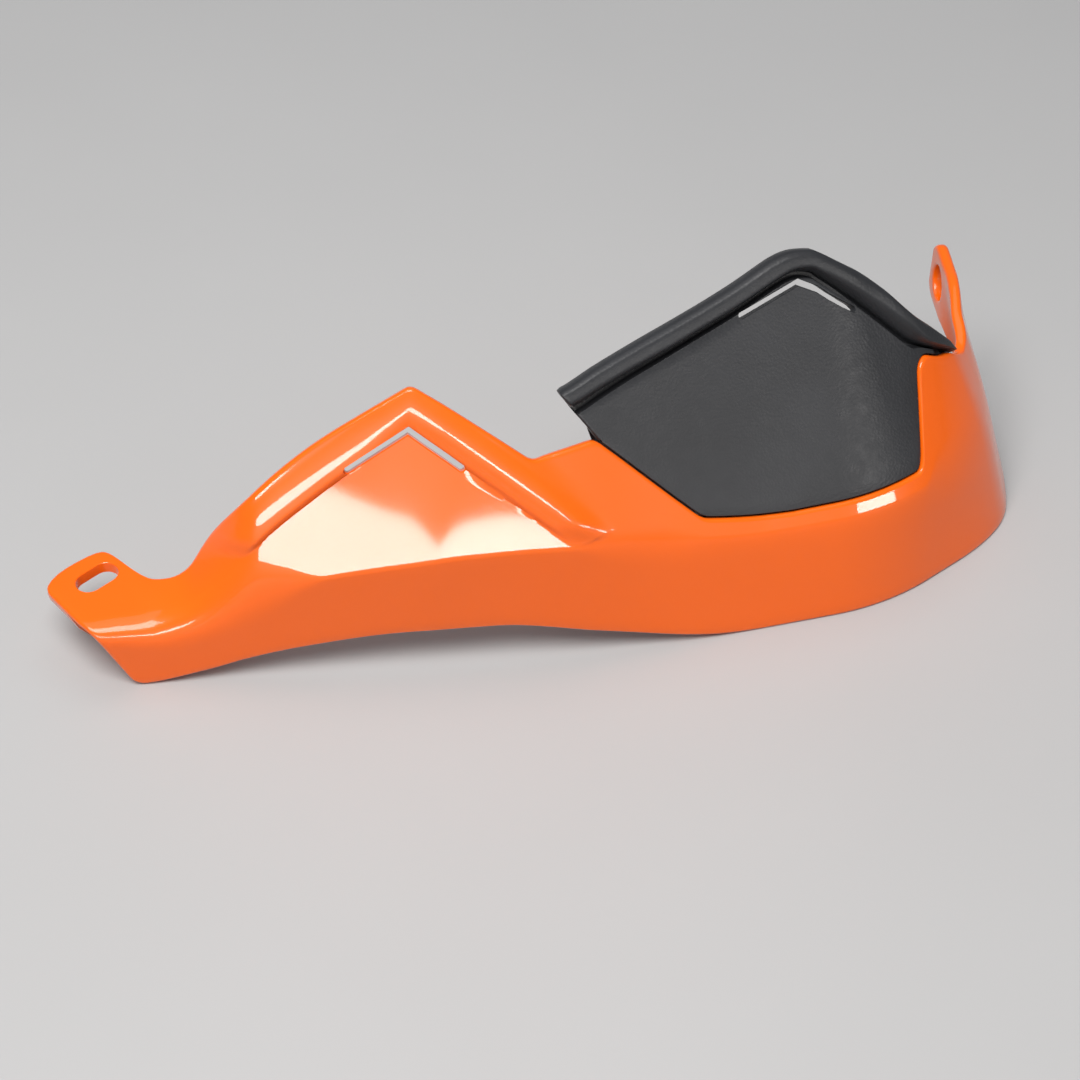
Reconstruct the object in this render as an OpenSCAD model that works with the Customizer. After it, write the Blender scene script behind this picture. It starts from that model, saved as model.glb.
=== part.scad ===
// Motorcycle hand guard, left hand side: a moulded shell with a wind shield behind its cut-out.
// X runs along the handlebar towards the bar end, Y points back to the rider, Z is up.
// The guard stands on its lower edge, with its origin in the bore of the bar end ear.
// Lengths are in millimetres, angles in degrees.

/* [Plan of the crease] */
// Straight front of the beam, from the inner end
front_len = 100; // [80:1:120]
// Turn of the gentle bow after the straight front
bow_turn = 9; // [5:0.5:13]
// Radius of the gentle bow
bow_r = 400; // [300:10:500]
// Straight run between the bow and the corner
run_len = 73.5; // [66:0.5:80]
// Radius of the corner that wraps round the hand
corner_r = 80; // [72:1:88]
// Turn of that corner
corner_turn = 48; // [42:1:54]
// Radius of the tighter turn behind it, beside the bar end
turn_r = 30; // [26:1:36]
// How far the tighter turn goes past square, before the ear turns back
toe_in = 16; // [14:0.5:20]
// Straight side behind the turns
side_len = 16; // [12:0.5:20]
// Radius of the bend that turns the ear square to the bar
ear_bend_r = 40; // [30:1:50]
// Flat ear behind that bend
ear_len = 16; // [13:0.5:20]

/* [Beam] */
// Height of the lower face at the inner end
inner_h = 25; // [20:0.5:29]
// Height of the lower face under the wing
wing_face_h = 31; // [27:0.5:35]
// Height of the lower face under the shield
shield_face_h = 36; // [31:0.5:40]
// Rise of the arched lower edge above the floor
arch_h = 16; // [9:0.5:19]
// How far the lower edge stands out from the crease under the shield
skirt_out = 6; // [4:0.5:8]
// How far it stands out at the turn beside the bar end
turn_skirt = 11; // [8:0.5:13]
// How much further along the lower edge starts than the crease
end_rake = 11; // [6:0.5:14]
// Wall thickness of the shell
wall = 4; // [3:0.1:4.6]

/* [Wing] */
// Lean of the wing and of the shield, from upright
lean = 31; // [26:0.5:35]
// Slope length of the wing from the crease to its peak
wing_h = 56; // [50:0.5:64]
// Slope length of the lip beside the wing
lip_h = 34.5; // [31:0.5:38]
// Width of the rim band along the wing's two edges
band_w = 11; // [9:0.5:13]
// Height of the rim band over the recessed panel
band_rise = 2.2; // [1.2:0.1:3]
// Width of the vent slots
vent_w = 2; // [1.5:0.1:3]

/* [Shield] */
// Slope length from the crease to the peak of the shield
shield_h = 89; // [80:0.5:94]
// Wall thickness of the shield
shield_wall = 3; // [2.4:0.1:3.6]
// Width of the visor rim along the top of the shield
rim_w = 7; // [6:0.5:9]
// How far the visor rim stands out from the shield
rim_rise = 4.5; // [3:0.5:6]
// How far the shield reaches behind the edge of the cut-out
flange_w = 6; // [4.5:0.5:7.5]
// How far the shield's face lies below the shell's
shield_sink = 0.7; // [0.4:0.1:1.5]
// Gap between the shell and the shield's flange behind it
fit_gap = 0.2; // [0.1:0.05:0.5]
// Gap round the shield's face inside the cut-out
side_gap = 0.55; // [0.4:0.05:0.8]

/* [Mounts] */
// Length of the inner slot, end to end
slot_len = 14.5; // [11:0.5:17]
// Width of the inner slot, for an M8 bolt
slot_w = 8.4; // [6.4:0.1:9]
// Reach of the inner tab behind the crease
tab_reach = 38; // [35:0.5:42]
// Bore of the ear, for the flanged bush of the bar end bolt
ear_bore = 12; // [8.5:0.1:13]
// Height of the ear
ear_h = 22; // [20:0.5:26]
// Height of the ear's top edge above the floor
ear_top = 68; // [62:0.5:70]

/* [Hidden] */

// Where the crease starts in plan, before the whole guard moves to its origin
plan_start = [-140, -8];

// Plan of the crease as a chain of [length, turn] pieces
function arc_len(r, turn) = r * turn * PI / 180;
last_turn = 90 - bow_turn - corner_turn + toe_in;
pieces = [[front_len, 0], [arc_len(bow_r, bow_turn), bow_turn], [run_len, 0],
    [arc_len(corner_r, corner_turn), corner_turn], [arc_len(turn_r, last_turn), last_turn], [side_len, 0],
    [arc_len(ear_bend_r, toe_in), -toe_in], [ear_len, 0]];

// Moves a point p that heads along angle a by d along a piece of the chain
function move(p, a, piece, d) = piece[1] == 0 ? p + d * [cos(a), sin(a)] :
    let (r = piece[0] / piece[1] * 180 / PI, b = a + piece[1] * d / piece[0])
    p + r * [sin(b) - sin(a), cos(a) - cos(b)];
// Start of each piece: [station, heading, point]
starts = [for (i = 0, s = 0, a = 0, p = plan_start; i <= len(pieces);
    p = i < len(pieces) ? move(p, a, pieces[i], pieces[i][0]) : p,
    s = i < len(pieces) ? s + pieces[i][0] : s,
    a = i < len(pieces) ? a + pieces[i][1] : a,
    i = i + 1) [s, a, p]];
function piece_at(s, i = 0) = i == len(pieces) - 1 || s < starts[i + 1][0] ? i : piece_at(s, i + 1);
function heading(s) = let (i = piece_at(s))
    starts[i][1] + pieces[i][1] * (s - starts[i][0]) / pieces[i][0];
function plan(s) = let (i = piece_at(s)) move(starts[i][2], starts[i][1], pieces[i], s - starts[i][0]);

s_corner = starts[3][0];
s_turn = starts[4][0];
s_side = starts[5][0];
s_ear = starts[7][0];
s_end = starts[8][0];

// Lookups in a short table of [station, value] rows
function clamp01(v) = max(0, min(1, v));
function ease(k) = k * k * (3 - 2 * k);
function row_at(t, s, i = 0) = i >= len(t) - 2 || s < t[i + 1][0] ? i : row_at(t, s, i + 1);
function part_of(t, s, i) = clamp01((s - t[i][0]) / (t[i + 1][0] - t[i][0]));
function mix(a, b, k) = a * (1 - k) + b * k;
function linear(t, s) = let (i = row_at(t, s)) mix(t[i][1], t[i + 1][1], part_of(t, s, i));
function eased(t, s) = let (i = row_at(t, s)) mix(t[i][1], t[i + 1][1], ease(part_of(t, s, i)));
// Slope at a row, level where the values turn or stay level, so that nothing overshoots
function slope_at(t, i) = i == 0 || i == len(t) - 1 ? 0 :
    (t[i + 1][1] - t[i][1]) * (t[i][1] - t[i - 1][1]) <= 0 ? 0 :
    (t[i + 1][1] - t[i - 1][1]) / (t[i + 1][0] - t[i - 1][0]);
function smooth(t, s) = let (i = row_at(t, s), k = part_of(t, s, i), d = t[i + 1][0] - t[i][0])
    mix(t[i][1], t[i + 1][1], ease(k))
    + slope_at(t, i) * d * k * (1 - k) * (1 - k) - slope_at(t, i + 1) * d * k * k * (1 - k);
// Linear lookup with its corners rounded over r on each side
function rounded(t, s, r) = (linear(t, s - r) + linear(t, s - r / 2) + linear(t, s)
    + linear(t, s + r / 2) + linear(t, s + r)) / 5;

// Stations of the shell's outline along the crease
s_tip = 9;
s_tab = 22;
s_wing = 32;
s_peak = 103;
s_notch = s_peak + 37;
s_lip = s_notch + 21;
s_cut = s_lip + 32;
s_cut_end = s_corner + 35;
s_cut_top = s_cut_end + 13;
s_post = s_cut_top + 5.5;

// Tables along the crease
ear_mid = ear_top - ear_h / 2;
low_edge = [[0, 0], [30, 4.5], [62, 0.75 * arch_h], [100, arch_h], [125, arch_h], [160, 0.6 * arch_h],
    [195, 1.5], [215, 0], [s_turn + 8, 0], [s_side - 4, 12], [s_ear - 4, ear_top - ear_h],
    [s_end, ear_top - ear_h]];
crease = [[0, inner_h], [s_tab, inner_h], [60, 0.75 * arch_h + wing_face_h - 3],
    [110, arch_h + wing_face_h], [125, arch_h + wing_face_h + 0.5], [160, 0.6 * arch_h + shield_face_h - 1.5],
    [190, shield_face_h + 2.5], [215, shield_face_h], [s_turn, shield_face_h],
    [s_side - 10, shield_face_h + 1], [s_ear - 4, ear_mid], [s_end, ear_mid]];
skirt = [[0, 0], [110, 0], [200, skirt_out], [s_corner + 35, skirt_out], [s_turn + 6, turn_skirt],
    [s_side - 6, 0.8 * turn_skirt], [s_ear - 4, 0], [s_end, 0]];
lean_t = [[0, 90], [s_tab - 8, 90], [s_wing + 22, lean], [s_corner + 30, lean],
    [s_side - 6, 24], [s_ear - 2, 0], [s_end, 0]];
skew_t = [[0, 36], [s_tip, 11], [s_tab, 10], [s_wing, 0], [s_end, 0]];
edge = [[0, tab_reach - 10.5], [s_tip, tab_reach + 1], [14.5, 32.5], [19, 24], [s_tab + 2, 19.4],
    [s_wing - 2, 18], [s_wing + 4, 24], [51, wing_h - 25.5], [71, wing_h - 14], [84, wing_h - 8.4],
    [s_peak, wing_h], [s_notch, 28.8], [s_lip, lip_h], [s_cut, 8], [s_cut + 29, 6.5], [s_cut_end, 7.5],
    [s_cut_end + 6, 23], [s_cut_top, 38.6], [s_post, 41], [s_post + 8, 36.5], [s_turn, 34.5],
    [s_turn + 7, 33], [s_side, 21], [s_ear - 6, ear_h / 2], [s_end, ear_h / 2]];
edge_round = [[0, 2], [12, 3], [40, 4], [50, 9], [88, 9], [98, 2], [s_post + 4, 2], [s_turn + 4, 8],
    [s_end, 8]];
tab_corner = 5;
ear_corner = 6.5;
// How far an outline with a rounded corner draws back at x from its end
function draw_back(x, r) = x < r ? r - sqrt(max(0, r * r - (r - x) * (r - x))) : 0;
function end_cut(s) = draw_back(s, tab_corner) + draw_back(s_end - s, ear_corner);

function z_low(s) = smooth(low_edge, s);
function z_crease(s) = smooth(crease, s);
function tilt(s) = eased(lean_t, s);
function edge_h(s) = rounded(edge, s, linear(edge_round, s)) - end_cut(s);

// Directions at a station: out of the lower face, out of the upper face, and up the upper face
function out_dir(s) = [sin(heading(s)), -cos(heading(s)), 0];
function face_out(s) = out_dir(s) * cos(tilt(s)) + [0, 0, sin(tilt(s))];
function face_up(s) = let (a = heading(s) + eased(skew_t, s))
    -[sin(a), -cos(a), 0] * sin(tilt(s)) + [0, 0, cos(tilt(s))];

function low_pt(s) = [plan(s)[0] + end_rake * clamp01(1 - s / 45), plan(s)[1], z_low(s)]
    + out_dir(s) * smooth(skirt, s);
function crease_pt(s) = [plan(s)[0], plan(s)[1], z_crease(s)];
// Part of the lower face that the rounded corners take away at a station
function low_cut(s) = end_cut(s) / norm(crease_pt(s) - low_pt(s));
function face_pt(s, h, d = 0) = crease_pt(s) + face_up(s) * h + face_out(s) * d;

// Recessed panel of the wing: corners [station, slope length], the lower two below the crease
recess = [[46.5, 14], [90, -8], [s_lip + 3.5, -8], [s_peak - 1, wing_h - band_w]];
recess_slope = 2.4;
// The rim band runs on past the notch and ends along this line
band_end = [[s_lip - 1, 5], [s_notch, 28.8]];
function beside(p, a, b) = ((b - a)[0] * (p - a)[1] - (b - a)[1] * (p - a)[0]) / norm(b - a);
function inside(p) = min([for (i = [0 : 3]) beside(p, recess[i], recess[(i + 1) % 4])]);
function relief(s, h) = band_rise * (1 - pow(clamp01(inside([s, h]) / recess_slope), 2))
    * ease(clamp01(beside([s, h], recess[0], recess[1]) / 6)) * ease(clamp01(h / 9))
    * ease(clamp01(beside([s, h], band_end[0], band_end[1]) / 9 + 0.5))
    * ease(clamp01((s - s_wing - 2) / 14));

// Rows up the upper face: the recess has its own rows, which close up where there is none
function recess_low(s) = s < recess[0][0] ? edge_h(s) * 0.5 :
    s > s_lip ? edge_h(s) * 0.08 : max(0.04 * edge_h(s), linear([recess[0], recess[1]], s));
function recess_high(s) = max(recess_low(s) + 1.6, linear([recess[0], recess[3], recess[2]], s));
function up_rows(s) = let (lo = recess_low(s), hi = recess_high(s), top = edge_h(s),
    f = min(recess_slope, (hi - lo) / 3))
    [0, lo / 2, lo, lo + f, (lo + hi) / 2, hi - f, hi, mix(hi, top, 0.33), mix(hi, top, 0.67), top];
low_rows = [0, 0.25, 0.5, 0.75];
function low_row(s, k) = mix(low_cut(s), 1, k);

// One closed ring of the shell's wall at a station
function shell_ring(s) = let (rows = up_rows(s), lo = low_pt(s), cr = crease_pt(s),
    nu = face_out(s), nl = out_dir(s), mitre = (nu + nl) / (1 + nu * nl)) concat(
    [for (k = low_rows) mix(lo, cr, low_row(s, k))],
    [for (h = rows) face_pt(s, h, relief(s, h))],
    [for (i = [len(rows) - 1 : -1 : 1]) face_pt(s, rows[i], relief(s, rows[i]) - wall)],
    [cr - mitre * wall],
    [for (i = [len(low_rows) - 1 : -1 : 0]) let (k = low_row(s, low_rows[i]))
        mix(lo, cr, k) - mix(nl, mitre, k) * wall]);

// Closed skin through a row of rings, each with as many front points as back points
module loft(rings) {
    n = len(rings[0]);
    m = len(rings);
    sides = [for (i = [0 : m - 2], j = [0 : n - 1]) let (a = i * n + j, b = i * n + (j + 1) % n)
        each [[a, b, a + n], [b, b + n, a + n]]];
    // Each end is closed by a strip between the front rows and the back rows
    caps = [for (end = [0, (m - 1) * n], i = [0 : n / 2 - 2]) let (a = end + i, b = end + n - 1 - i)
        each end == 0 ? [[a, b, a + 1], [a + 1, b, b - 1]] : [[a, a + 1, b], [a + 1, b - 1, b]]];
    polyhedron([for (r = rings) each r], concat(sides, caps), convexity = 10);
}

// n stations from a up to, but not including, b
function steps(a, b, n) = [for (i = [0 : n - 1]) mix(a, b, i / n)];

shell_stations = concat(
    [0, 0.2, 0.8, 1.8, 3.2], steps(tab_corner, s_tab, 8), steps(s_tab, s_wing + 4, 6),
    steps(s_wing + 4, recess[0][0], 4), steps(recess[0][0], 74, 8),
    steps(74, s_peak - 1, 8), steps(s_peak - 1, s_notch, 12), steps(s_notch, s_lip, 8),
    steps(s_lip, s_cut, 6), steps(s_cut, s_cut_end - 3, 12), steps(s_cut_end - 3, s_cut_end + 3, 6),
    steps(s_cut_end + 3, s_cut_top, 6),
    steps(s_cut_top, s_turn, 6), steps(s_turn, s_side, 9), steps(s_side, s_ear, 8),
    steps(s_ear, s_end - ear_corner, 3), [for (x = [6.5, 4.6, 2.9, 1.5, 0.6, 0.12, 0]) s_end - x]);

// Vent slot: a straight slit with round ends through the upper face, from a to b
module slit(a, b, depth) {
    p = face_pt(a[0], a[1]);
    q = face_pt(b[0], b[1]);
    run = q - p;
    out = face_out((a[0] + b[0]) / 2);
    side = cross(out, run / norm(run));
    frame = [[run[0] / norm(run), side[0], out[0], p[0]], [run[1] / norm(run), side[1], out[1], p[1]],
        [run[2] / norm(run), side[2], out[2], p[2]], [0, 0, 0, 1]];
    multmatrix(frame) translate([0, 0, -depth]) linear_extrude(2 * depth) {
        translate([0, -vent_w / 2]) square([norm(run), vent_w]);
        circle(d = vent_w, $fn = 16);
        translate([norm(run), 0]) circle(d = vent_w, $fn = 16);
    }
}

// Chevron of two slits that meet at a peak
module chevron(left, peak, right, depth) {
    slit(left, peak, depth);
    slit(peak, right, depth);
}

wing_vent = [[s_peak - 20.5, wing_h - 23.7], [s_peak - 1.5, wing_h - 14.4], [s_peak + 14.5, wing_h - 28.2]];

// Slotted hole of the inner tab, its centre and direction in plan
slot_at = [-139, 16.6];
slot_dir = 39;
module inner_slot() {
    reach = slot_len / 2 - slot_w / 2;
    translate([slot_at[0], slot_at[1], inner_h - 3 * wall]) rotate(slot_dir) {
        translate([-reach, -slot_w / 2, 0]) cube([2 * reach, slot_w, 6 * wall]);
        for (x = [-reach, reach]) translate([x, 0, 0]) cylinder(d = slot_w, h = 6 * wall, $fn = 48);
    }
}

// Centre of the ear's bore, half way through the wall: the part's own origin
ear_at = [plan(s_end)[0] - wall / 2, plan(s_end)[1] - ear_h / 2, ear_top - ear_h / 2];
module ear_hole() {
    translate(ear_at - [3 * wall, 0, 0]) rotate([0, 90, 0]) cylinder(d = ear_bore, h = 6 * wall, $fn = 64);
}

// The moulded shell: beam, wing, cut-out, corner, inner tab and ear in one piece
module guard_shell() {
    color("darkorange") translate(-ear_at) difference() {
        loft([for (s = shell_stations) shell_ring(s)]);
        chevron(wing_vent[0], wing_vent[1], wing_vent[2], 3 * wall);
        inner_slot();
        ear_hole();
    }
}

// Shield: stations and outlines on the same upper face, its face nearly flush in the cut-out
s_shield = s_lip + 1.2;
s_shield_peak = s_corner - 4.3;
s_shield_end = s_turn + 12;
shield_top = [[149.5, shield_h - 39.7], [182.4, shield_h - 21.8], [s_shield_peak - 6, shield_h - 0.3],
    [s_shield_peak, shield_h + 0.7], [s_shield_peak + 8.5, shield_h - 1.6],
    [s_shield_peak + 21, shield_h - 6.1], [s_shield_peak + 33, shield_h - 11.1],
    [s_turn - 29, 71.8], [s_turn - 22, 65.1], [s_turn - 16.4, 57.3],
    [s_turn - 10.4, 52], [s_turn - 5.4, 47], [s_turn - 2, 42.3], [s_turn + 2, 36.5], [s_shield_end, 28]];
// Foot of the visor rim
rim_foot = [[154, shield_h - rim_w - 38.1], [177, shield_h - rim_w - 25.3], [200, shield_h - rim_w - 13.6],
    [s_shield_peak - 6, shield_h - rim_w - 1.2], [s_shield_peak, shield_h - rim_w + 1],
    [s_shield_peak + 6, shield_h - rim_w - 1.6], [s_shield_peak + 17.5, shield_h - rim_w - 6.3],
    [s_shield_peak + 28, shield_h - rim_w - 12], [s_turn - 33.7, 63.5], [s_turn - 26, 56.8],
    [s_turn - 20, 50], [s_turn - 15, 45], [s_shield_end, 26]];
// The inner end is slanted: how far a point at slope length h lies short of its station
slant = 0.77;
function slip(s, h) = slant * max(0, h - lip_h) * clamp01((s_cut - 2 - s) / (s_cut - 2 - s_shield));
// Slope length of an outline t at a station of the slanted shield, by going back and forth n times
function outline(t, s, n = 6, h = 45) = n == 0 ? h : outline(t, s, n - 1, rounded(t, s - slip(s, h), 5));
function top_h(s) = outline(shield_top, s);
function steep(s) = norm([1, max(edge_h(s + 1) - edge_h(s), edge_h(s - 1) - edge_h(s))]);
// Edge of the shield's face: it joggles back to the flange behind the shell there
function joggle(s) = edge_h(s) + side_gap * steep(s);
// 1 where the shield has sunk behind the shell, beside the bar end
function sunk(s) = 1 - ease(clamp01((top_h(s) - joggle(s) - 6) / 6));

// One closed ring of the shield at a station: rows of [slope length, depth] up the front and down the back
function shield_rows(s) = let (top = top_h(s), step = min(joggle(s), top - 6), k = 1 - sunk(s),
    flange = -wall - fit_gap, face = mix(flange, -shield_sink, k), rise = k * rim_rise,
    foot = min(top - 2, max(outline(rim_foot, s), step + 3.2)), m = min(1, (foot - step) / 9),
    run = 2.9 * min(2.5, steep(s)) * m,
    lo = max(1, step - flange_w), back = face - shield_wall, low = flange - shield_wall)
    [[lo, flange], [step, flange], [step + 0.5 * m, face], [mix(step, foot, 0.5), face],
    [foot - 1.8 * m, face], [foot - 1.3 * m, face - 1.4 * k], [foot - 0.3 * m, face - 1.4 * k],
    [foot + 0.3 * m, face + 0.55 * rise],
    [foot + 1.6 * m, face + rise], [mix(foot, top, 0.8), face + rise], [top, face + 0.5 * rise],
    [top, back + 0.6], [top - 1, back], [mix(foot, top, 0.3), back], [foot - 0.3 * m, back - 0.9 * k],
    [foot - 2.6 * m, back - 0.9 * k], [foot - 3.6 * m, back], [mix(step + run, foot - 3.6 * m, 0.5), back],
    [min(step + run + 0.5 * m, foot - 3.8 * m), back], [min(step + run, foot - 4 * m), low],
    [mix(lo, step, 0.5), low], [lo, low]];
function shield_ring(s) = [for (r = shield_rows(s)) face_pt(s - slip(s, r[0]), r[0], r[1])];
shield_stations = concat(steps(s_shield, s_cut, 10), steps(s_cut, s_shield_peak, 8),
    steps(s_shield_peak, s_cut_end - 3, 9), steps(s_cut_end - 3, s_cut_end + 3, 6),
    steps(s_cut_end + 3, s_cut_top + 2, 7), steps(s_cut_top + 2, s_shield_end, 14), [s_shield_end]);
shield_vent = [[s_shield_peak - 19.5, shield_h - 18], [s_shield_peak - 0.5, shield_h - 10.5],
    [s_shield_peak + 27, shield_h - 22.9]];

module wind_shield() {
    color("dimgray") translate(-ear_at) difference() {
        loft([for (s = shield_stations) shield_ring(s)]);
        chevron(shield_vent[0], shield_vent[1], shield_vent[2], 3 * wall);
    }
}

guard_shell();
wind_shield();
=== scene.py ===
"""Looks of the motorcycle hand guard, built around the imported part.

Lengths are in millimetres and angles in degrees, unless a name or a comment says otherwise. mesh() and at()
turn points over the floor into metres from the middle of the bar end hole.
"""
import math

import bmesh
import bpy
import numpy as np
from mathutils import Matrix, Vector


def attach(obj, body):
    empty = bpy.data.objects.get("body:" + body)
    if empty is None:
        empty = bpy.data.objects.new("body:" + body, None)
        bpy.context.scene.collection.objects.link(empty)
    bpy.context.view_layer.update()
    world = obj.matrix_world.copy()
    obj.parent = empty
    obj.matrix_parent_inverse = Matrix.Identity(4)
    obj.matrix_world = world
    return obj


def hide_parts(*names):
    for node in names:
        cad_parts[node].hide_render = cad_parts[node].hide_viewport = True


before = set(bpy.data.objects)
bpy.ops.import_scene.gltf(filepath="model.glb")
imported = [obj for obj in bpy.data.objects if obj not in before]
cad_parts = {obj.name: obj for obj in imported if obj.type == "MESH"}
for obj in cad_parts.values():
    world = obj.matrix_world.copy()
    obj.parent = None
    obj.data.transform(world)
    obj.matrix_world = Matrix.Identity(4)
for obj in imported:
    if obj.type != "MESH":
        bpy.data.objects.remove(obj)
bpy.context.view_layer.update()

# Driving sizes, the same as the part's own apart from SIDE_GAP, which is 0.55 there
FRONT_LEN, BOW_TURN, BOW_R, RUN_LEN = 100, 9, 400, 73.5
CORNER_R, CORNER_TURN, TURN_R, TOE_IN = 80, 48, 30, 16
SIDE_LEN, EAR_BEND_R, EAR_LEN = 16, 40, 16
INNER_H, WING_FACE_H, SHIELD_FACE_H, ARCH_H = 25, 31, 36, 16
SKIRT_OUT, TURN_SKIRT, END_RAKE, WALL = 6, 11, 11, 4
LEAN, WING_H, LIP_H, BAND_W, BAND_RISE, VENT_W = 31, 56, 34.5, 11, 2.2, 2
SHIELD_H, SHIELD_WALL, RIM_W, RIM_RISE, FLANGE_W, FIT_GAP = 89, 3, 7, 4.5, 6, 0.2
SHIELD_SINK, SIDE_GAP = 0.7, 0.5
SLOT_LEN, SLOT_W, TAB_REACH, EAR_BORE, EAR_H, EAR_TOP = 14.5, 8.4, 38, 12, 22, 68
PLAN_START = (-140, -8)
# Roundings that the part's own source leaves out: the wall's edges, and those of the ear
EDGE_R, EAR_EDGE_R = 1.3, 1.8


def arc_len(r, turn):
    return r * turn * math.pi / 180


LAST_TURN = 90 - BOW_TURN - CORNER_TURN + TOE_IN
PIECES = [(FRONT_LEN, 0), (arc_len(BOW_R, BOW_TURN), BOW_TURN), (RUN_LEN, 0),
          (arc_len(CORNER_R, CORNER_TURN), CORNER_TURN), (arc_len(TURN_R, LAST_TURN), LAST_TURN),
          (SIDE_LEN, 0), (arc_len(EAR_BEND_R, TOE_IN), -TOE_IN), (EAR_LEN, 0)]


def move(p, a, piece, d):
    """The point d along a piece of the plan that starts at p and heads along angle a."""
    length, turn = piece
    if turn == 0:
        return p[0] + d * math.cos(math.radians(a)), p[1] + d * math.sin(math.radians(a))
    r = length / turn * 180 / math.pi
    b = math.radians(a + turn * d / length)
    a = math.radians(a)
    return p[0] + r * (math.sin(b) - math.sin(a)), p[1] + r * (math.cos(a) - math.cos(b))


STARTS = [(0.0, 0.0, PLAN_START)]
for piece in PIECES:
    s0, a0, p0 = STARTS[-1]
    STARTS.append((s0 + piece[0], a0 + piece[1], move(p0, a0, piece, piece[0])))


def piece_at(s):
    i = 0
    while i < len(PIECES) - 1 and s >= STARTS[i + 1][0]:
        i += 1
    return i


def heading(s):
    i = piece_at(s)
    return STARTS[i][1] + PIECES[i][1] * (s - STARTS[i][0]) / PIECES[i][0]


def plan(s):
    i = piece_at(s)
    return move(STARTS[i][2], STARTS[i][1], PIECES[i], s - STARTS[i][0])


S_CORNER, S_TURN, S_SIDE, S_EAR, S_END = (STARTS[i][0] for i in (3, 4, 5, 7, 8))


def clamp01(v):
    return np.clip(v, 0.0, 1.0)


def ease(k):
    return k * k * (3 - 2 * k)


def mix(a, b, k):
    return a * (1 - k) + b * k


MEAN_STEPS = 16


def table_part(t, s):
    """The part of a table [[station, value], ...] that s falls in, and how far through it s is."""
    i = 0
    while i < len(t) - 2 and s >= t[i + 1][0]:
        i += 1
    return i, min(1.0, max(0.0, (s - t[i][0]) / (t[i + 1][0] - t[i][0])))


def linear(t, s):
    """A table's value at s, on straight lines."""
    i, k = table_part(t, s)
    return mix(t[i][1], t[i + 1][1], k)


def eased(t, s):
    """A table's value at s, level at each of its marks."""
    i, k = table_part(t, s)
    return mix(t[i][1], t[i + 1][1], ease(k))


def slope_at(t, i):
    if i == 0 or i == len(t) - 1 or (t[i + 1][1] - t[i][1]) * (t[i][1] - t[i - 1][1]) <= 0:
        return 0.0
    return (t[i + 1][1] - t[i - 1][1]) / (t[i + 1][0] - t[i - 1][0])


def smooth(t, s):
    """A table's value at s, on one smooth curve through its marks."""
    i, k = table_part(t, s)
    d = t[i + 1][0] - t[i][0]
    return (mix(t[i][1], t[i + 1][1], ease(k)) + slope_at(t, i) * d * k * (1 - k) * (1 - k)
            - slope_at(t, i + 1) * d * k * k * (1 - k))


def rounded(t, s, r):
    """A table's value at s, its corners rounded by taking the mean over r on each side."""
    n = MEAN_STEPS
    return sum(linear(t, s + r * k / n) for k in range(-n, n + 1)) / (2 * n + 1)


# Stations of the outline along the crease
S_TIP, S_TAB, S_WING, S_PEAK = 9, 22, 32, 103
S_NOTCH = S_PEAK + 37
S_LIP = S_NOTCH + 21
S_CUT = S_LIP + 32
S_CUT_END = S_CORNER + 35
S_CUT_TOP = S_CUT_END + 13
S_POST = S_CUT_TOP + 5.5

EAR_MID = EAR_TOP - EAR_H / 2
# Along the crease: heights of the lower edge and of the crease, and how far the lower edge stands out
LOW_EDGE = [(0, 0), (30, 4.5), (62, 0.75 * ARCH_H), (100, ARCH_H), (125, ARCH_H), (160, 0.6 * ARCH_H),
            (195, 1.5), (215, 0), (S_TURN + 8, 0), (S_SIDE - 4, 12), (S_EAR - 4, EAR_TOP - EAR_H),
            (S_END, EAR_TOP - EAR_H)]
CREASE = [(0, INNER_H), (S_TAB, INNER_H), (60, 0.75 * ARCH_H + WING_FACE_H - 3),
          (110, ARCH_H + WING_FACE_H), (125, ARCH_H + WING_FACE_H + 0.5),
          (160, 0.6 * ARCH_H + SHIELD_FACE_H - 1.5), (190, SHIELD_FACE_H + 2.5), (215, SHIELD_FACE_H),
          (S_TURN, SHIELD_FACE_H), (S_SIDE - 10, SHIELD_FACE_H + 1), (S_EAR - 4, EAR_MID), (S_END, EAR_MID)]
SKIRT = [(0, 0), (110, 0), (200, SKIRT_OUT), (S_CORNER + 35, SKIRT_OUT), (S_TURN + 6, TURN_SKIRT),
         (S_SIDE - 6, 0.8 * TURN_SKIRT), (S_EAR - 4, 0), (S_END, 0)]
# Lean of the upper face and skew of its slope
LEAN_T = [(0, 90), (S_TAB - 8, 90), (S_WING + 22, LEAN), (S_CORNER + 30, LEAN),
          (S_SIDE - 6, 25), (S_SIDE + 6, 22), (S_EAR, 0), (S_END, 0)]
SKEW_T = [(0, 36), (S_TIP, 11), (S_TAB, 10), (S_WING, 0), (S_END, 0)]
# Slope length up to the shell's edge, and over what length its corners are rounded
EDGE = [(0, TAB_REACH - 10.5), (S_TIP, TAB_REACH + 1), (14.5, 32.5), (19, 24), (S_TAB + 2, 19.4),
        (S_WING - 2, 18), (S_WING + 4, 24), (51, WING_H - 25.5), (71, WING_H - 14), (84, WING_H - 8.4),
        (S_PEAK, WING_H), (S_NOTCH, 28.8), (S_LIP, LIP_H), (S_CUT, 8), (S_CUT + 29, 6.5), (S_CUT_END, 7.5),
        (S_CUT_END + 6, 23), (S_CUT_TOP, 38.6), (S_POST, 41), (S_POST + 8, 36.5), (S_TURN, 34.5),
        (S_TURN + 7, 33), (S_SIDE, 21), (S_EAR - 6, EAR_H / 2), (S_END, EAR_H / 2)]
EDGE_ROUND = [(0, 2), (12, 3), (40, 4), (50, 9), (88, 9), (98, 2), (S_POST + 4, 2), (S_TURN + 4, 8),
              (S_END, 8)]
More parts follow.
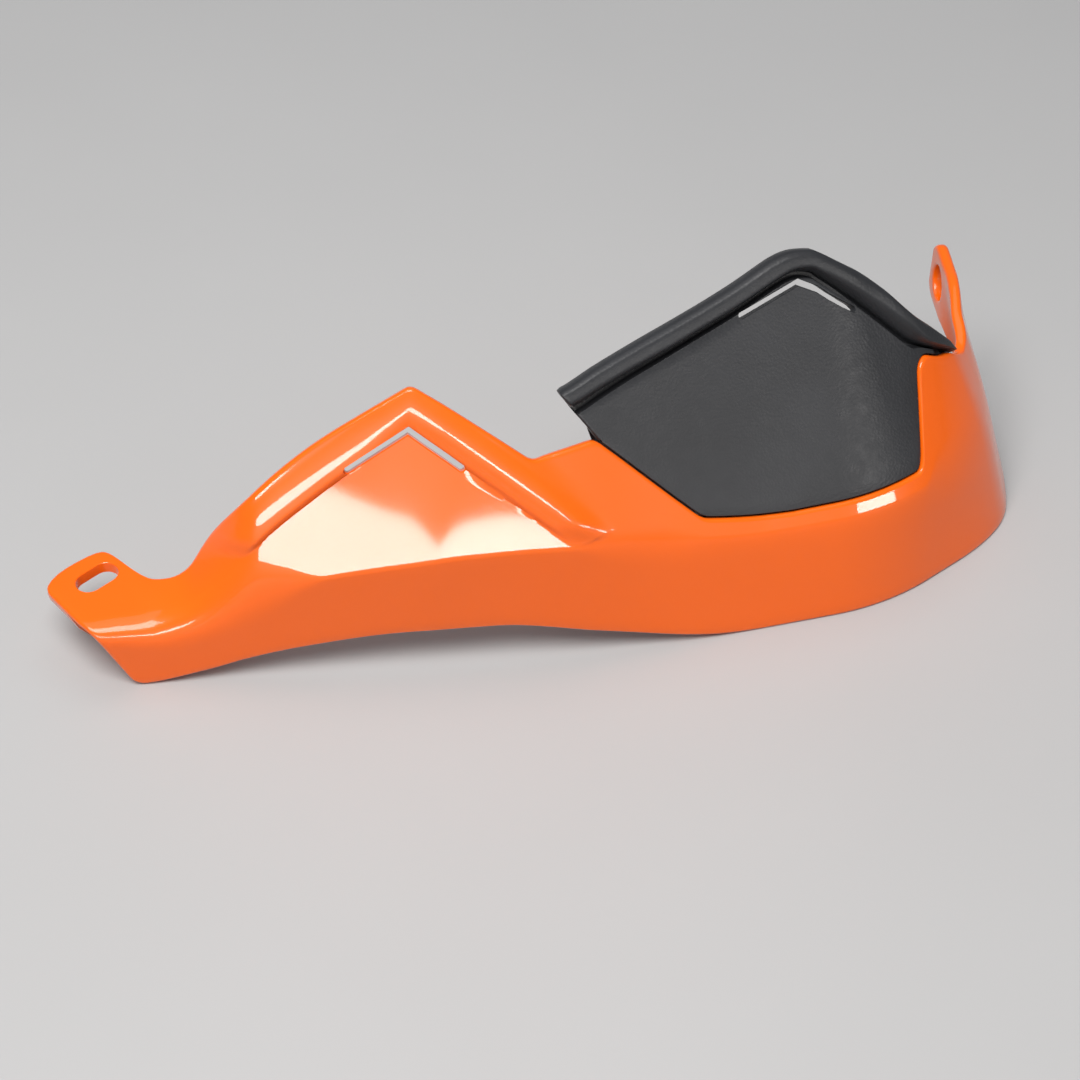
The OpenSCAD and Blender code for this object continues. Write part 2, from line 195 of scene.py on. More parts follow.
# How far the crease is softened on each side
SOFT = [(0, 7), (10, 8), (S_WING, 10), (46, 13), (60, 7.5), (74, 1.2), (150, 1.2), (164, 6), (S_CORNER, 8),
        (S_TURN, 12), (S_SIDE, 9), (S_EAR, 2), (S_END, 1.2)]
# The most of a face that the softening takes, and of the wall that one edge's rounding takes
SOFT_SHARE, ROUND_SHARE = 0.4, 0.42
TAB_CORNER, EAR_CORNER = 4.7, 6.5


def corner_cut(x, r):
    """How much an outline with a corner of radius r draws back at x from its end."""
    return r - math.sqrt(max(0.0, r * r - (r - x) ** 2)) if x < r else 0.0


def low_lift(s):
    return corner_cut(s, TAB_CORNER) + corner_cut(S_END - s, EAR_CORNER)


def edge_h(s):
    return rounded(EDGE, s, linear(EDGE_ROUND, s)) - low_lift(s)


def vec(*v):
    return np.array(v, float)


# Length over which the oblique inner end's rake fades
RAKE_RUN = 45


class Station:
    """Directions and anchor points of the shell at a station."""

    def __init__(self, s):
        a = math.radians(heading(s))
        t = math.radians(eased(LEAN_T, s))
        k = a + math.radians(eased(SKEW_T, s))
        x, y = plan(s)
        self.out = vec(math.sin(a), -math.cos(a), 0)
        self.face = self.out * math.cos(t) + vec(0, 0, math.sin(t))
        self.up = -vec(math.sin(k), -math.cos(k), 0) * math.sin(t) + vec(0, 0, math.cos(t))
        self.crease = vec(x, y, smooth(CREASE, s))
        rake = END_RAKE * min(1, max(0, 1 - s / RAKE_RUN))
        self.low = vec(x + rake, y, smooth(LOW_EDGE, s)) + self.out * smooth(SKIRT, s)
        self.mitre = (self.face + self.out) / (1 + self.face @ self.out)

    def upper(self, h, d):
        """A point h up the upper face from the crease, and d out of it."""
        h, d = np.asarray(h, float)[..., None], np.asarray(d, float)[..., None]
        return self.crease + self.up * h + self.face * d

    def lower(self, u, d):
        """A point u up the lower face from its lower edge, and d out of it."""
        k = (np.asarray(u, float) / self.face_len())[..., None]
        d = np.asarray(d, float)[..., None]
        return mix(self.low, self.crease, k) + mix(self.out, self.mitre, k) * d

    def face_len(self):
        return np.linalg.norm(self.crease - self.low)


# Recessed panel of the wing: corners [station, slope length], the lower two below the crease
RECESS = [(46.5, 14), (90, -8), (S_LIP + 3.5, -8), (S_PEAK - 1, WING_H - BAND_W)]
RECESS_SLOPE = 2.4
# Lengths over which the band fades: below the recess's lower left side, at the crease, and at its two ends
LOW_FADE, CREASE_FADE, END_FADE, START_FADE = 6, 9, 9, 14
# What the band's slope takes off its width, and the share of its crown that lies below the band's height
BAND_SLOPE, CROWN_DROP = 1.5, 0.6
# The rim band runs on past the notch and ends along this line
BAND_END = [(S_LIP - 1, 5), (S_NOTCH, 28.8)]
# How much the band's face is crowned
CROWN = [(0, 0.25), (88, 0.25), (112, 0.8), (S_END, 0.8)]


def beside(s, h, a, b):
    """How far a point lies to the left of the line from a to b."""
    dx, dy = b[0] - a[0], b[1] - a[1]
    return (dx * (h - a[1]) - dy * (s - a[0])) / math.hypot(dx, dy)


def inside_recess(s, h):
    """How far a point lies inside three sides of the recess. relief() fades the band at the fourth."""
    return np.min([beside(s, h, RECESS[i], RECESS[(i + 1) % 4]) for i in (1, 2, 3)], axis=0)


def relief(s, h):
    """Height of the raised band over the face, with its crown."""
    h = np.asarray(h, float)
    q, low_side = inside_recess(s, h), beside(s, h, RECESS[0], RECESS[1])
    rise = ((1 - clamp01(q / RECESS_SLOPE) ** 2) * ease(clamp01(low_side / LOW_FADE))
            * ease(clamp01(h / CREASE_FADE)) * ease(clamp01(beside(s, h, *BAND_END) / END_FADE + 0.5))
            * ease(clamp01((s - S_WING - 2) / START_FADE)))
    band = clamp01(-q / (BAND_W - BAND_SLOPE))
    return rise * (BAND_RISE + linear(CROWN, s) * (4 * band * (1 - band) - CROWN_DROP))


def recess_low(s):
    """Slope length of the lowest row that follows the recess."""
    if s < RECESS[0][0]:
        return edge_h(s) * 0.4
    return max(0.6, linear([RECESS[0], (74.0, 0.6)], s)) if s < 155 else 0.6


def recess_high(s):
    """Slope length of the row along the recess's upper sides."""
    return max(recess_low(s) + 1.5, linear([RECESS[0], RECESS[3], (156.0, 2.1)], s))


def spread(a, b, n, near=0.0):
    """n steps from a up to, not including, b, drawn towards both ends by near."""
    k = np.arange(n) / n
    return a + (b - a) * mix(k, ease(k), near)


def up_rows(s, start, top):
    """Slope lengths of the rows up the upper face, close together where the recess has its edges."""
    lo = max(recess_low(s), start + 0.2)
    hi = max(recess_high(s), lo + 1.0)
    lo, hi = min(lo, top * 0.5), min(hi, top * 0.75)
    slope = min(4.0, (hi - lo) * 0.4)
    return np.concatenate([spread(start, lo, 5), spread(lo, lo + slope * 0.6, 5),
                           spread(lo + slope * 0.6, hi - slope, 12), spread(hi - slope, hi, 10),
                           spread(hi, top, 18, 0.5), [top]])


def bezier(a, b, c, n):
    """n points between a and c on the curve that b draws out."""
    k = (np.arange(1, n + 1) / (n + 1))[:, None]
    return a * (1 - k) ** 2 + b * 2 * k * (1 - k) + c * k ** 2


# Directions round a quarter of an edge's rounding, and points on the softened crease
ARC, CREASE_POINTS = np.radians(np.linspace(0, 90, 5)), 6


def edge_r(s):
    """Radius of the wall's edges at a station."""
    return mix(EDGE_R, EAR_EDGE_R, float(ease(clamp01((s - S_SIDE) / 12))))


def shell_ring(s, inset=0.0):
    """A closed ring of the shell's wall at a station: up the front, over the edge and down the back."""
    st = Station(s)
    top = edge_h(s) - inset
    foot = low_lift(s) + inset
    length = st.face_len()
    soft = min(smooth(SOFT, s), SOFT_SHARE * (top - EDGE_R))
    soft_low = min(smooth(SOFT, s), SOFT_SHARE * (length - foot - EDGE_R))
    r = min(edge_r(s) - min(inset, EDGE_R * 0.8), ROUND_SHARE * (WALL - 2 * inset))
    front, back = -inset, -WALL + inset
    rows = up_rows(s, soft, top - r)
    face_rows = spread(foot + r, length - soft_low, 9)
    down = ARC[::-1]
    low_front = [st.lower(foot + r * (1 - math.sin(a)), front - r * (1 - math.cos(a))) for a in down[:-1]]
    low_back = [st.lower(foot + r * (1 - math.cos(a)), back + r * (1 - math.sin(a))) for a in down[1:]]
    rise = relief(s, rows)
    lift = rise[-1]
    edge_front = [st.upper(top - r + r * math.sin(a), front + lift - r * (1 - math.cos(a))) for a in ARC[1:]]
    edge_back = [st.upper(top - r + r * math.cos(a), back + lift + r * (1 - math.sin(a))) for a in ARC]
    back_rows = rows[::-2]
    under_front, under_back = st.lower(length - soft_low, front), st.lower(length - soft_low, back)
    over_front, over_back = st.upper(soft, front), st.upper(soft, back)
    return np.vstack([low_front, st.lower(face_rows, np.full(len(face_rows), front)), [under_front],
                      bezier(under_front, st.crease + st.mitre * front, over_front, CREASE_POINTS),
                      st.upper(rows, rise + front), edge_front, edge_back,
                      st.upper(back_rows, relief(s, back_rows) + back), [over_back],
                      bezier(over_back, st.crease + st.mitre * back, under_back, CREASE_POINTS),
                      [under_back], st.lower(face_rows[::-1], np.full(len(face_rows), back)), low_back])


def stations(marks, step):
    """Stations about a step apart, with one at each mark."""
    out = []
    for a, b in zip(marks, marks[1:]):
        out += list(spread(a, b, max(2, round((b - a) / step))))
    return out + [marks[-1]]


def loft(name, rings):
    """Closed skin through a row of rings, with one flat face over each end."""
    n, m = len(rings[0]), len(rings)
    points = np.vstack(rings)
    faces = []
    for i in range(m - 1):
        a, b = i * n, (i + 1) * n
        for j in range(n):
            k = (j + 1) % n
            faces.append((a + j, a + k, b + k, b + j))
    faces.append(tuple(reversed(range(n))))
    faces.append(tuple(range((m - 1) * n, m * n)))
    return mesh(name, points, faces)


# The middle of the bar end hole, which is the frame's origin
EAR_AT = vec(plan(S_END)[0] - WALL / 2, plan(S_END)[1] - EAR_H / 2, EAR_MID)


def mesh(name, points, faces):
    """An object in metres from points in millimetres over the floor, with its normals outward."""
    data = bpy.data.meshes.new(name)
    data.from_pydata(((np.asarray(points) - EAR_AT) / 1000).tolist(), [], faces)
    data.update()
    piece = bpy.data.objects.new(name, data)
    bpy.context.scene.collection.objects.link(piece)
    bm = bmesh.new()
    bm.from_mesh(data)
    bmesh.ops.remove_doubles(bm, verts=bm.verts, dist=2e-6)
    bmesh.ops.recalc_face_normals(bm, faces=bm.faces)
    bm.to_mesh(data)
    bm.free()
    return piece


SHARP = math.radians(32)


def shade(piece):
    """Smooth shading, with the edges sharper than SHARP kept."""
    data = piece.data
    bm = bmesh.new()
    bm.from_mesh(data)
    for f in bm.faces:
        f.smooth = True
    for e in bm.edges:
        e.smooth = not (len(e.link_faces) == 2 and e.calc_face_angle(0) > SHARP)
    bm.to_mesh(data)
    bm.free()


def cut(piece, cutter):
    """Cuts one piece out of another and removes the cutter."""
    mod = piece.modifiers.new("cut", "BOOLEAN")
    mod.operation, mod.solver, mod.object = "DIFFERENCE", "EXACT", cutter
    bpy.context.view_layer.update()
    result = bpy.data.meshes.new_from_object(piece.evaluated_get(bpy.context.evaluated_depsgraph_get()))
    piece.modifiers.clear()
    old = piece.data
    piece.data = result
    bpy.data.meshes.remove(old)
    bpy.data.objects.remove(cutter)


def capsule(a, b, w, n):
    """Outline of a slit of width w from a to b, with n points round each end."""
    a, b = vec(*a), vec(*b)
    run = (b - a) / np.linalg.norm(b - a)
    side = vec(-run[1], run[0])
    half_turn = [run * math.cos(t) + side * math.sin(t) for t in np.linspace(-math.pi / 2, math.pi / 2, n)]
    return [b + w / 2 * v for v in half_turn] + [a - w / 2 * v for v in half_turn]


def prism(name, place, outline, depths):
    """A solid between outlines of growing size: place turns (x, y, depth) into a point."""
    n = len(outline[0])
    points = [place(p[0], p[1], d) for ring, d in zip(outline, depths) for p in ring]
    faces = [(i * n + j, i * n + (j + 1) % n, (i + 1) * n + (j + 1) % n, (i + 1) * n + j)
             for i in range(len(depths) - 1) for j in range(n)]
    faces += [tuple(reversed(range(n))), tuple(range((len(depths) - 1) * n, len(depths) * n))]
    return mesh(name, points, faces)


def face_point(s, h, d):
    """The point at a station, h up its upper face and d out of it."""
    return Station(s).upper(h, d)


def chevron_outline(left, peak, right, w):
    """Outline of two slits of width w that meet at a mitred peak, in station and slope length."""
    l, p, r = vec(*left), vec(*peak), vec(*right)
    u1, u2 = (p - l) / np.linalg.norm(p - l), (r - p) / np.linalg.norm(r - p)
    n1, n2 = vec(-u1[1], u1[0]), vec(-u2[1], u2[0])
    m = (n1 + n2) / (1 + n1 @ n2)
    quarters, arc = (0.25, 0.5, 0.75), np.linspace(0, math.pi, 9)[1:-1]
    ring = [l + n1 * w / 2] + [mix(l, p, k) + n1 * w / 2 for k in quarters] + [p + m * w / 2]
    ring += [mix(p, r, k) + n2 * w / 2 for k in quarters] + [r + n2 * w / 2]
    ring += [r + w / 2 * (n2 * math.cos(t) + u2 * math.sin(t)) for t in arc] + [r - n2 * w / 2]
    ring += [mix(r, p, k) - n2 * w / 2 for k in quarters] + [p - m * w / 2]
    ring += [mix(p, l, k) - n1 * w / 2 for k in quarters] + [l - n1 * w / 2]
    ring += [l + w / 2 * (-n1 * math.cos(t) - u1 * math.sin(t)) for t in arc]
    return ring


def vent(piece, marks, depths, widths):
    """Cuts a chevron slot whose mouth widens from one depth to the next."""
    rings = [chevron_outline(*marks, w) for w in widths]
    cut(piece, prism("vent_cutter", face_point, rings, depths))


# Shell: its skin, rounded at both ends, and the vent in the recess
shell_marks = [0, S_TIP, S_TAB, S_WING, S_WING + 4, RECESS[0][0], 74, S_PEAK - 1, S_NOTCH, 155, S_LIP, S_CUT,
               S_CUT + 29, S_CUT_END - 3, S_CUT_END, S_CUT_END + 6, S_CUT_TOP, S_POST, S_TURN, S_TURN + 7,
               S_SIDE, S_EAR, S_END]
SHELL_STEP = 1.1
end_steps = [(EDGE_R * (1 - math.cos(a)), EDGE_R * (1 - math.sin(a))) for a in np.radians([0, 22, 45, 68])]
shell_rings = [shell_ring(s, inset) for s, inset in end_steps] + [shell_ring(EDGE_R)]
shell_rings += [shell_ring(s) for s in stations(shell_marks, SHELL_STEP) if EDGE_R < s < S_END - EDGE_R]
shell_rings += [shell_ring(S_END - EDGE_R)] + [shell_ring(S_END - s, inset) for s, inset in end_steps[::-1]]
shell = loft("shell", shell_rings)
WING_VENT = [(S_PEAK - 20.5, WING_H - 23.2), (S_PEAK - 1.5, WING_H - 13.9),
             (S_PEAK + 14.5, WING_H - 27.7)]
# The cutters reach this far through the wall and stand this far out of it
THROUGH, PROUD = 3 * WALL, 4
vent(shell, WING_VENT, [-THROUGH, -0.5, 0.0, PROUD], [VENT_W, VENT_W, VENT_W + 0.7, VENT_W + 0.7])

# Slotted hole of the tab, with a softened mouth
SLOT_AT, SLOT_DIR = (-139, 16.6), math.radians(39)
SLOT_END = (SLOT_LEN - SLOT_W) / 2


def slot_place(x, y, d):
    """A point x along the slot and y across it, d over the tab's face."""
    return vec(SLOT_AT[0] + x * math.cos(SLOT_DIR) - y * math.sin(SLOT_DIR),
               SLOT_AT[1] + x * math.sin(SLOT_DIR) + y * math.cos(SLOT_DIR), INNER_H + d)


slot_rings = [capsule((-SLOT_END, 0), (SLOT_END, 0), SLOT_W + w, 16) for w in (0, 0, 0.2, 0.7, 0.7)]
cut(shell, prism("slot_cutter", slot_place, slot_rings, [-THROUGH, -0.5, -0.2, 0.0, 3]))


# Bar end hole of the ear, with a softened mouth on each side
def ear_place(x, y, d):
    """A point across the ear, d out from the middle of its wall."""
    return vec(EAR_AT[0] + d, EAR_AT[1] + x, EAR_AT[2] + y)


def circle(r, n):
    return [(r * math.cos(t), r * math.sin(t)) for t in np.linspace(0, 2 * math.pi, n, endpoint=False)]


EAR_FACE = WALL / 2
ear_mouth = [(9, 0.8), (EAR_FACE, 0.8), (EAR_FACE - 0.3, 0.2), (EAR_FACE - 0.8, 0)]
ear_depths = [-d for d, w in ear_mouth] + [d for d, w in ear_mouth[::-1]]
ear_rings = [circle(EAR_BORE / 2 + w, 64) for d, w in ear_mouth + ear_mouth[::-1]]
cut(shell, prism("ear_cutter", ear_place, ear_rings, ear_depths))
shade(shell)

# Shield: its outlines on the same upper face, its face nearly flush in the cut-out
S_SHIELD = S_LIP + 1.2
S_PEAK2 = S_CORNER - 4.3
S_SHIELD_END = S_TURN + 8
SHIELD_TOP = [(149.5, SHIELD_H - 39.7), (182.4, SHIELD_H - 21.8), (S_PEAK2 - 6, SHIELD_H - 0.3),
              (S_PEAK2, SHIELD_H), (S_PEAK2 + 8.5, SHIELD_H - 1.6), (S_PEAK2 + 21, SHIELD_H - 6.1),
              (S_PEAK2 + 33, SHIELD_H - 11.1), (S_TURN - 29, 71.8), (S_TURN - 22, 65.1),
              (S_TURN - 16.4, 57.3), (S_TURN - 10.4, 52), (S_TURN - 5.4, 47), (S_TURN - 2, 42.6),
              (S_TURN + 2, 38), (S_TURN + 5, 34.8), (S_SHIELD_END, 32.6)]
# Foot of the visor rim, and the width of the groove under it
RIM_FOOT = [(154, SHIELD_H - RIM_W - 38.1), (177, SHIELD_H - RIM_W - 25.3), (200, SHIELD_H - RIM_W - 13.6),
            (S_PEAK2 - 6, SHIELD_H - RIM_W - 1.2), (S_PEAK2, SHIELD_H - RIM_W + 1),
            (S_PEAK2 + 6, SHIELD_H - RIM_W - 1.6), (S_PEAK2 + 17.5, SHIELD_H - RIM_W - 6.3),
            (S_PEAK2 + 28, SHIELD_H - RIM_W - 12), (S_TURN - 33.7, 63.5), (S_TURN - 26, 56.8),
            (S_TURN - 20, 50), (S_TURN - 15, 46), (S_TURN - 5, 39.5), (S_SHIELD_END, 31)]
GROOVE_W = [(S_SHIELD, 1.9), (S_PEAK2 + 28, 2.2), (S_TURN - 20, 3.2), (S_SHIELD_END, 3.2)]
# Depth of the groove, how far its floor may pass the face's back, and the depth of the rib behind it
GROOVE_D, GROOVE_PAST, RIB_D = 3.2, 1.3, 1.8
# Width of the slope from the groove up to the rim's face
RIM_BEVEL = [(S_SHIELD, 1.7), (S_PEAK2, 1.7), (S_PEAK2 + 28, 3.2), (S_TURN - 20, 4.2), (S_SHIELD_END, 2)]
# Slant of the shield's inner end: run along the crease for each length up the face
SLANT = 0.77
# Least height of the top and of the rim's foot over the joggle, and the height under which details shrink
LEAST_FACE, LEAST_FOOT, SHRINK = 6, 3.2, 9
# The rim's tip: fall of its face, how far before S_TURN that starts, and over what length
TIP_FALL, TIP_BEFORE, TIP_RUN = 3.4, 26, 34


def slip(s, h):
    """How far a point of the shield's slanted inner end lies short of its station."""
    return SLANT * max(0, h - LIP_H) * float(clamp01((S_CUT - 2 - s) / (S_CUT - 2 - S_SHIELD)))


def outline(t, s):
    """Slope length of an outline of the slanted shield at a station."""
    h = 45.0
    for _ in range(6):
        h = rounded(t, s - slip(s, h), 5)
    return h


def top_h(s):
    return outline(SHIELD_TOP, s)


def steep(s):
    """How much longer the cut-out's edge is than its run along the crease."""
    return math.hypot(1, max(edge_h(s + 1) - edge_h(s), edge_h(s - 1) - edge_h(s)))


def joggle(s):
    """Edge of the shield's face: it joggles back to the flange behind the shell there."""
    return edge_h(s) + SIDE_GAP * steep(s)


def sunk(s):
    """1 where the shield has sunk behind the shell, beside the bar end."""
    return 1 - float(ease(clamp01((top_h(s) - joggle(s) - LEAST_FACE) / LEAST_FACE)))


# The slope from the rim's foot to its crest: share of its width and of its height
RIM_SLOPE = [(0.05, 0.12), (0.3, 0.42), (0.6, 0.68), (0.85, 0.87)]
# The rim's face from its crest to its top: share of its width and how far it has rounded back
RIM_CROWN = [(0.02, 0.25), (0.08, 0.1), (0.2, 0.02), (0.35, -0.02), (0.5, -0.04), (0.64, 0.02), (0.76, 0.25),
             (0.86, 0.75), (0.93, 1.2), (0.98, 1.8)]


def rim_depth(s):
    """Depth of the rim's face, which falls off towards its tip over the post."""
    return RIM_RISE - SHIELD_SINK - TIP_FALL * float(clamp01((s - S_TURN + TIP_BEFORE) / TIP_RUN)) ** 2


def shield_profile(s, inset=0.0):
    """Rows of [slope length, depth] up the front of the shield and down its back."""
    # Slope lengths of the flange's end, the joggle, the rim's foot and its crest. Where the shield runs out
    # behind the shell, k lowers and m narrows what lies between them.
    top = top_h(s) - inset
    step, k = min(joggle(s), top - LEAST_FACE), 1 - sunk(s)
    foot = min(top - 0.8, max(outline(RIM_FOOT, s), mix(edge_h(s) + 0.6, step + LEAST_FOOT, k)))
    m = min(1, (foot - step) / SHRINK)
    lo = max(1, step - FLANGE_W) + inset
    groove = (linear(GROOVE_W, s) * k + 0.2) * m
    bevel = min(linear(RIM_BEVEL, s) * m, 0.6 * (top - foot))
    crest = foot + bevel
    width = top - crest
    run = 2.9 * min(2.5, steep(s)) * m
    # Depths: flange, face, groove and rim on the front, and what lies behind each
    flange = -WALL - FIT_GAP
    face, rim = mix(flange, -SHIELD_SINK, k) - inset, rim_depth(s) - inset
    back, low = face - SHIELD_WALL + 2 * inset, flange - SHIELD_WALL + inset
    deep = max(face - GROOVE_D * k, back - GROOVE_PAST * k)
    rib, rim_back = back - RIB_D * k, max(back, rim - SHIELD_WALL - RIM_RISE)
    flange -= inset
    front = [(lo, flange - 0.5), (lo + 0.5, flange), (mix(lo, step, 0.5), flange), (step, flange),
             (step + 0.1 * m, mix(flange, face, 0.85)), (step + 0.35 * m, face - 0.05 * k)]
    front += [(h, face) for h in spread(step + 0.6 * m, foot - groove - 0.4 * m, 14)]
    front += [(foot - groove - 0.4 * m, face), (foot - groove - 0.12 * m, face - 0.12 * k),
              (foot - groove, face - 0.5 * k), (foot - 0.96 * groove, mix(face, deep, 0.8)),
              (foot - 0.8 * groove, deep), (foot - 0.3 * groove, deep),
              (foot - 0.05 * m, mix(face, deep, 0.8)), (foot, face)]
    front += [(foot + a * bevel, mix(face, rim, b)) for a, b in RIM_SLOPE]
    front += [(crest + a * width, rim - b * min(1, width / 3)) for a, b in RIM_CROWN]
    rear = [(top, mix(rim, rim_back, 0.55)), (top, rim_back + 1.1), (top - 0.35 * m, rim_back + 0.35),
            (top - min(1.1, 0.4 * width), rim_back), (mix(foot, top, 0.3), rim_back),
            (foot - 0.1 * m, min(rim_back, rib)), (foot - groove - 0.6 * m, rib)]
    high = foot - groove - 1.9 * m
    bend = min(step + run + 0.5 * m, high - 0.2 * m)
    rear += [(h, back) for h in spread(high, bend, 12)]
    rear += [(bend, back), (min(step + run, high - 0.4 * m), low),
             (mix(lo, step, 0.5), low), (lo + 0.5, low), (lo, low + 0.5)]
    return front + rear


def shield_ring(s, inset=0.0, shift=0.0):
    """A closed ring of the shield at a station, slanted at its inner end."""
    return np.array([face_point(s + shift - slip(s, h), h, d) for h, d in shield_profile(s, inset)])


shield_marks = [S_SHIELD, 175, S_CUT, S_PEAK2, S_CUT_END - 3, S_CUT_END + 3, S_CUT_TOP, S_POST, S_TURN,
                S_SHIELD_END]
SHIELD_STEP = 1.5
# The inner end's rounded edge: how far the ring is drawn in, and its distance from the end
SHIELD_ENDS = [(1.0, 0.0), (0.5, 0.15), (0.15, 0.5), (0.0, 1.0)]
shield_rings = [shield_ring(S_SHIELD, inset, shift) for inset, shift in SHIELD_ENDS]
shield_rings += [shield_ring(s) for s in stations(shield_marks, SHIELD_STEP)[1:]]
shield = loft("shield", shield_rings)
SHIELD_VENT = [(S_PEAK2 - 19.5, SHIELD_H - 18), (S_PEAK2 - 0.5, SHIELD_H - 10.5),
               (S_PEAK2 + 27, SHIELD_H - 22.9)]
vent(shield, SHIELD_VENT, [-THROUGH, -SHIELD_SINK - 0.3, -SHIELD_SINK, PROUD],
     [VENT_W, VENT_W, VENT_W + 0.4, VENT_W + 0.4])
shade(shield)


# Materials
def material(name, base, roughness, build):
    """A material whose colour and surface are made by build(nodes, links, shader, base)."""
    mat = bpy.data.materials.new(name)
    mat.use_nodes = True
    nodes, links = mat.node_tree.nodes, mat.node_tree.links
    shader = nodes["Principled BSDF"]
    shader.inputs["Roughness"].default_value = roughness
    build(nodes, links, shader, base)
    return mat


def noise(nodes, links, scale, detail):
    coords = nodes.new("ShaderNodeTexCoord")
    tex = nodes.new("ShaderNodeTexNoise")
    tex.inputs["Scale"].default_value = scale
    tex.inputs["Detail"].default_value = detail
    links.new(coords.outputs["Object"], tex.inputs["Vector"])
    return tex.outputs["Fac"]


def ramp(nodes, links, source, low, high, a, b, target):
    """Feeds a socket with colours from a to b as the source goes from low to high."""
    node = nodes.new("ShaderNodeValToRGB")
    start, end = node.color_ramp.elements
    start.position, end.position = low, high
    start.color, end.color = [*a, 1], [*b, 1]
    links.new(source, node.inputs["Fac"])
    links.new(node.outputs["Color"], target)


def bump(nodes, links, height, strength, distance, target):
    node = nodes.new("ShaderNodeBump")
    node.inputs["Strength"].default_value = strength
    node.inputs["Distance"].default_value = distance
    links.new(height, node.inputs["Height"])
    links.new(node.outputs["Normal"], target)


def shades(base, share):
    """A colour and its darker or lighter version."""
    return [v * share for v in base]


def grey(v):
    return [v] * 3


def gloss(nodes, links, shader, base):
    """Glossy moulded plastic: a faintly uneven skin under a clear coat."""
    sockets = shader.inputs
    cloud, patches, skin = (noise(nodes, links, *v) for v in ((14.0, 2.0), (60.0, 3.0), (260.0, 2.0)))
    ramp(nodes, links, cloud, 0.3, 0.7, shades(base, 0.96), base, sockets["Base Color"])
    ramp(nodes, links, patches, 0.3, 0.75, grey(0.3), grey(0.38), sockets["Roughness"])
    bump(nodes, links, skin, 0.04, 0.0003, sockets["Normal"])
    sockets["Specular IOR Level"].default_value = 0.15
    sockets["Coat Weight"].default_value = 1.0
    sockets["Coat IOR"].default_value = 1.32
    sockets["Coat Roughness"].default_value = 0.045


def matt(nodes, links, shader, base):
    """Matt moulded plastic with a fine eroded grain."""
    sockets = shader.inputs
    cloud, patches = noise(nodes, links, 40.0, 4.0), noise(nodes, links, 300.0, 5.0)
    ramp(nodes, links, cloud, 0.3, 0.75, shades(base, 0.85), shades(base, 1.15), sockets["Base Color"])
    ramp(nodes, links, patches, 0.3, 0.75, grey(0.36), grey(0.45), sockets["Roughness"])
    grain, coords = nodes.new("ShaderNodeTexVoronoi"), nodes.new("ShaderNodeTexCoord")
    grain.inputs["Scale"].default_value = 1100.0
    links.new(coords.outputs["Object"], grain.inputs["Vector"])
    bump(nodes, links, grain.outputs["Distance"], 0.25, 0.0002, sockets["Normal"])
    sockets["Specular IOR Level"].default_value = 0.22


orange = material("orange gloss plastic", (0.93, 0.135, 0.004), 0.34, gloss)
black = material("black matt plastic", (0.027, 0.028, 0.031), 0.45, matt)
shell.data.materials.append(orange)
shield.data.materials.append(black)
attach(shell, "root")
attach(shield, "root")
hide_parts("guard_shell")
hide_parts("wind_shield")


# Floor, camera and lights
def paint(nodes, links, shader, base):
    """Plain paint with a faint cloud in it."""
    cloud = noise(nodes, links, 6.0, 4.0)
    ramp(nodes, links, cloud, 0.3, 0.7, shades(base, 0.97), base, shader.inputs["Base Color"])


FLOOR_Z, FLOOR_HALF = -EAR_AT[2] / 1000, 4.0
floor_mesh = bpy.data.meshes.new("floor")
floor_corners = [(x * FLOOR_HALF, y * FLOOR_HALF, FLOOR_Z) for x, y in ((-1, -1), (1, -1), (1, 1), (-1, 1))]
floor_mesh.from_pydata(floor_corners, [], [(0, 1, 2, 3)])
floor = bpy.data.objects.new("floor", floor_mesh)
bpy.context.scene.collection.objects.link(floor)
floor.data.materials.append(material("pale floor", (0.42, 0.42, 0.42), 0.7, paint))


def at(x, y, z):
    """A point given in millimetres over the floor."""
    return Vector((vec(x, y, z) - EAR_AT) / 1000)


MIDDLE = (0, 0, 46)
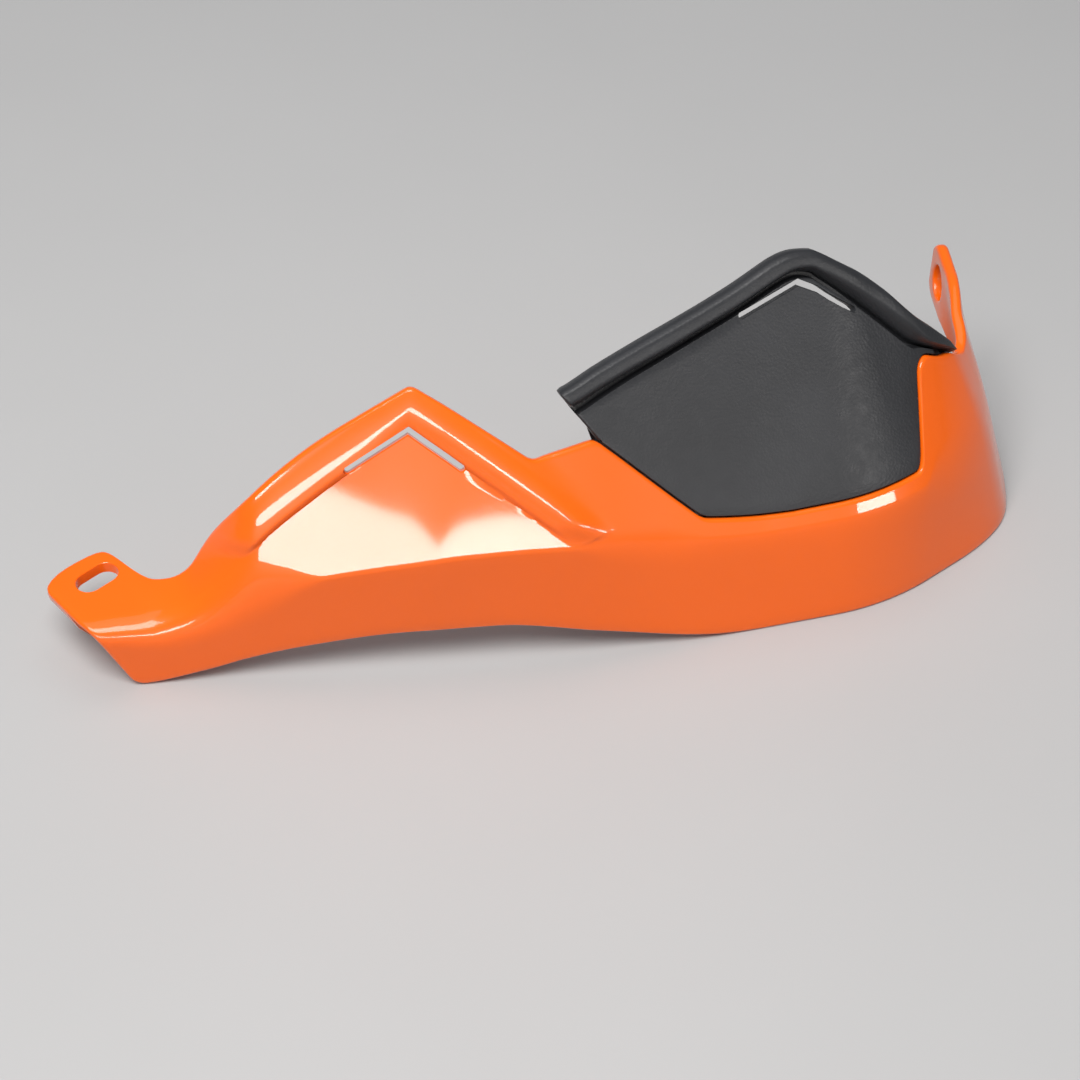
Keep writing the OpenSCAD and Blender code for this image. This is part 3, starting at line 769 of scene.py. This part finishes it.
# Distance in metres
CAMERA_TURN, CAMERA_TILT, CAMERA_AWAY = math.radians(-5), math.radians(45), 0.740
towards_camera = vec(math.sin(CAMERA_TURN) * math.cos(CAMERA_TILT),
                     -math.cos(CAMERA_TURN) * math.cos(CAMERA_TILT), math.sin(CAMERA_TILT))
camera_data = bpy.data.cameras.new("camera")
camera_data.sensor_width = 36
camera_data.lens = 80
camera_data.clip_start = 0.01
camera = bpy.data.objects.new("camera", camera_data)
bpy.context.scene.collection.objects.link(camera)
camera.location = Vector((vec(*MIDDLE) - EAR_AT) / 1000 + towards_camera * CAMERA_AWAY)
camera.rotation_euler = Vector(towards_camera).to_track_quat("Z", "Y").to_euler()
bpy.context.scene.camera = camera


def softbox(name, centre, aim, size, power, tint, shape="RECTANGLE", lights_faces=True):
    """An area light from centre to aim over the floor, its size in metres and its power in watts.

    Without lights_faces it shows only in reflections.
    """
    data = bpy.data.lights.new(name, "AREA")
    data.shape, data.size, data.size_y = shape, size[0], size[1]
    data.energy, data.color = power, tint
    light = bpy.data.objects.new(name, data)
    bpy.context.scene.collection.objects.link(light)
    light.location = at(*centre)
    light.visible_diffuse = lights_faces
    light.rotation_euler = (at(*centre) - at(*aim)).to_track_quat("Z", "Y").to_euler()


WARM = (1.0, 0.97, 0.94)
softbox("key", (-250, -520, 1400), MIDDLE, (0.9, 0.7), 29.5, (1.0, 0.985, 0.97))
softbox("top", (-100, 350, 1200), MIDDLE, (1.2, 0.6), 3, (1.0, 0.99, 0.98))
# Low softboxes in front, which the recess and the corner reflect
softbox("low left", (-560, -1500, 478), (-560, 0, 478), (0.9, 0.2), 15, WARM, "ELLIPSE", False)
softbox("low middle", (270, -1500, 470), (270, 0, 470), (0.96, 0.12), 11, WARM, "ELLIPSE", False)
softbox("low right", (1450, -1350, 430), MIDDLE, (0.6, 0.16), 11, WARM, "RECTANGLE", False)
world = bpy.data.worlds.new("studio")
bpy.context.scene.world = world
world.use_nodes = True
world.node_tree.nodes["Background"].inputs["Color"].default_value = (0.9, 0.93, 1.0, 1)
world.node_tree.nodes["Background"].inputs["Strength"].default_value = 0.2
# The default view transform dulls the orange
bpy.context.scene.view_settings.view_transform = "Standard"

bpy.context.view_layer.update()
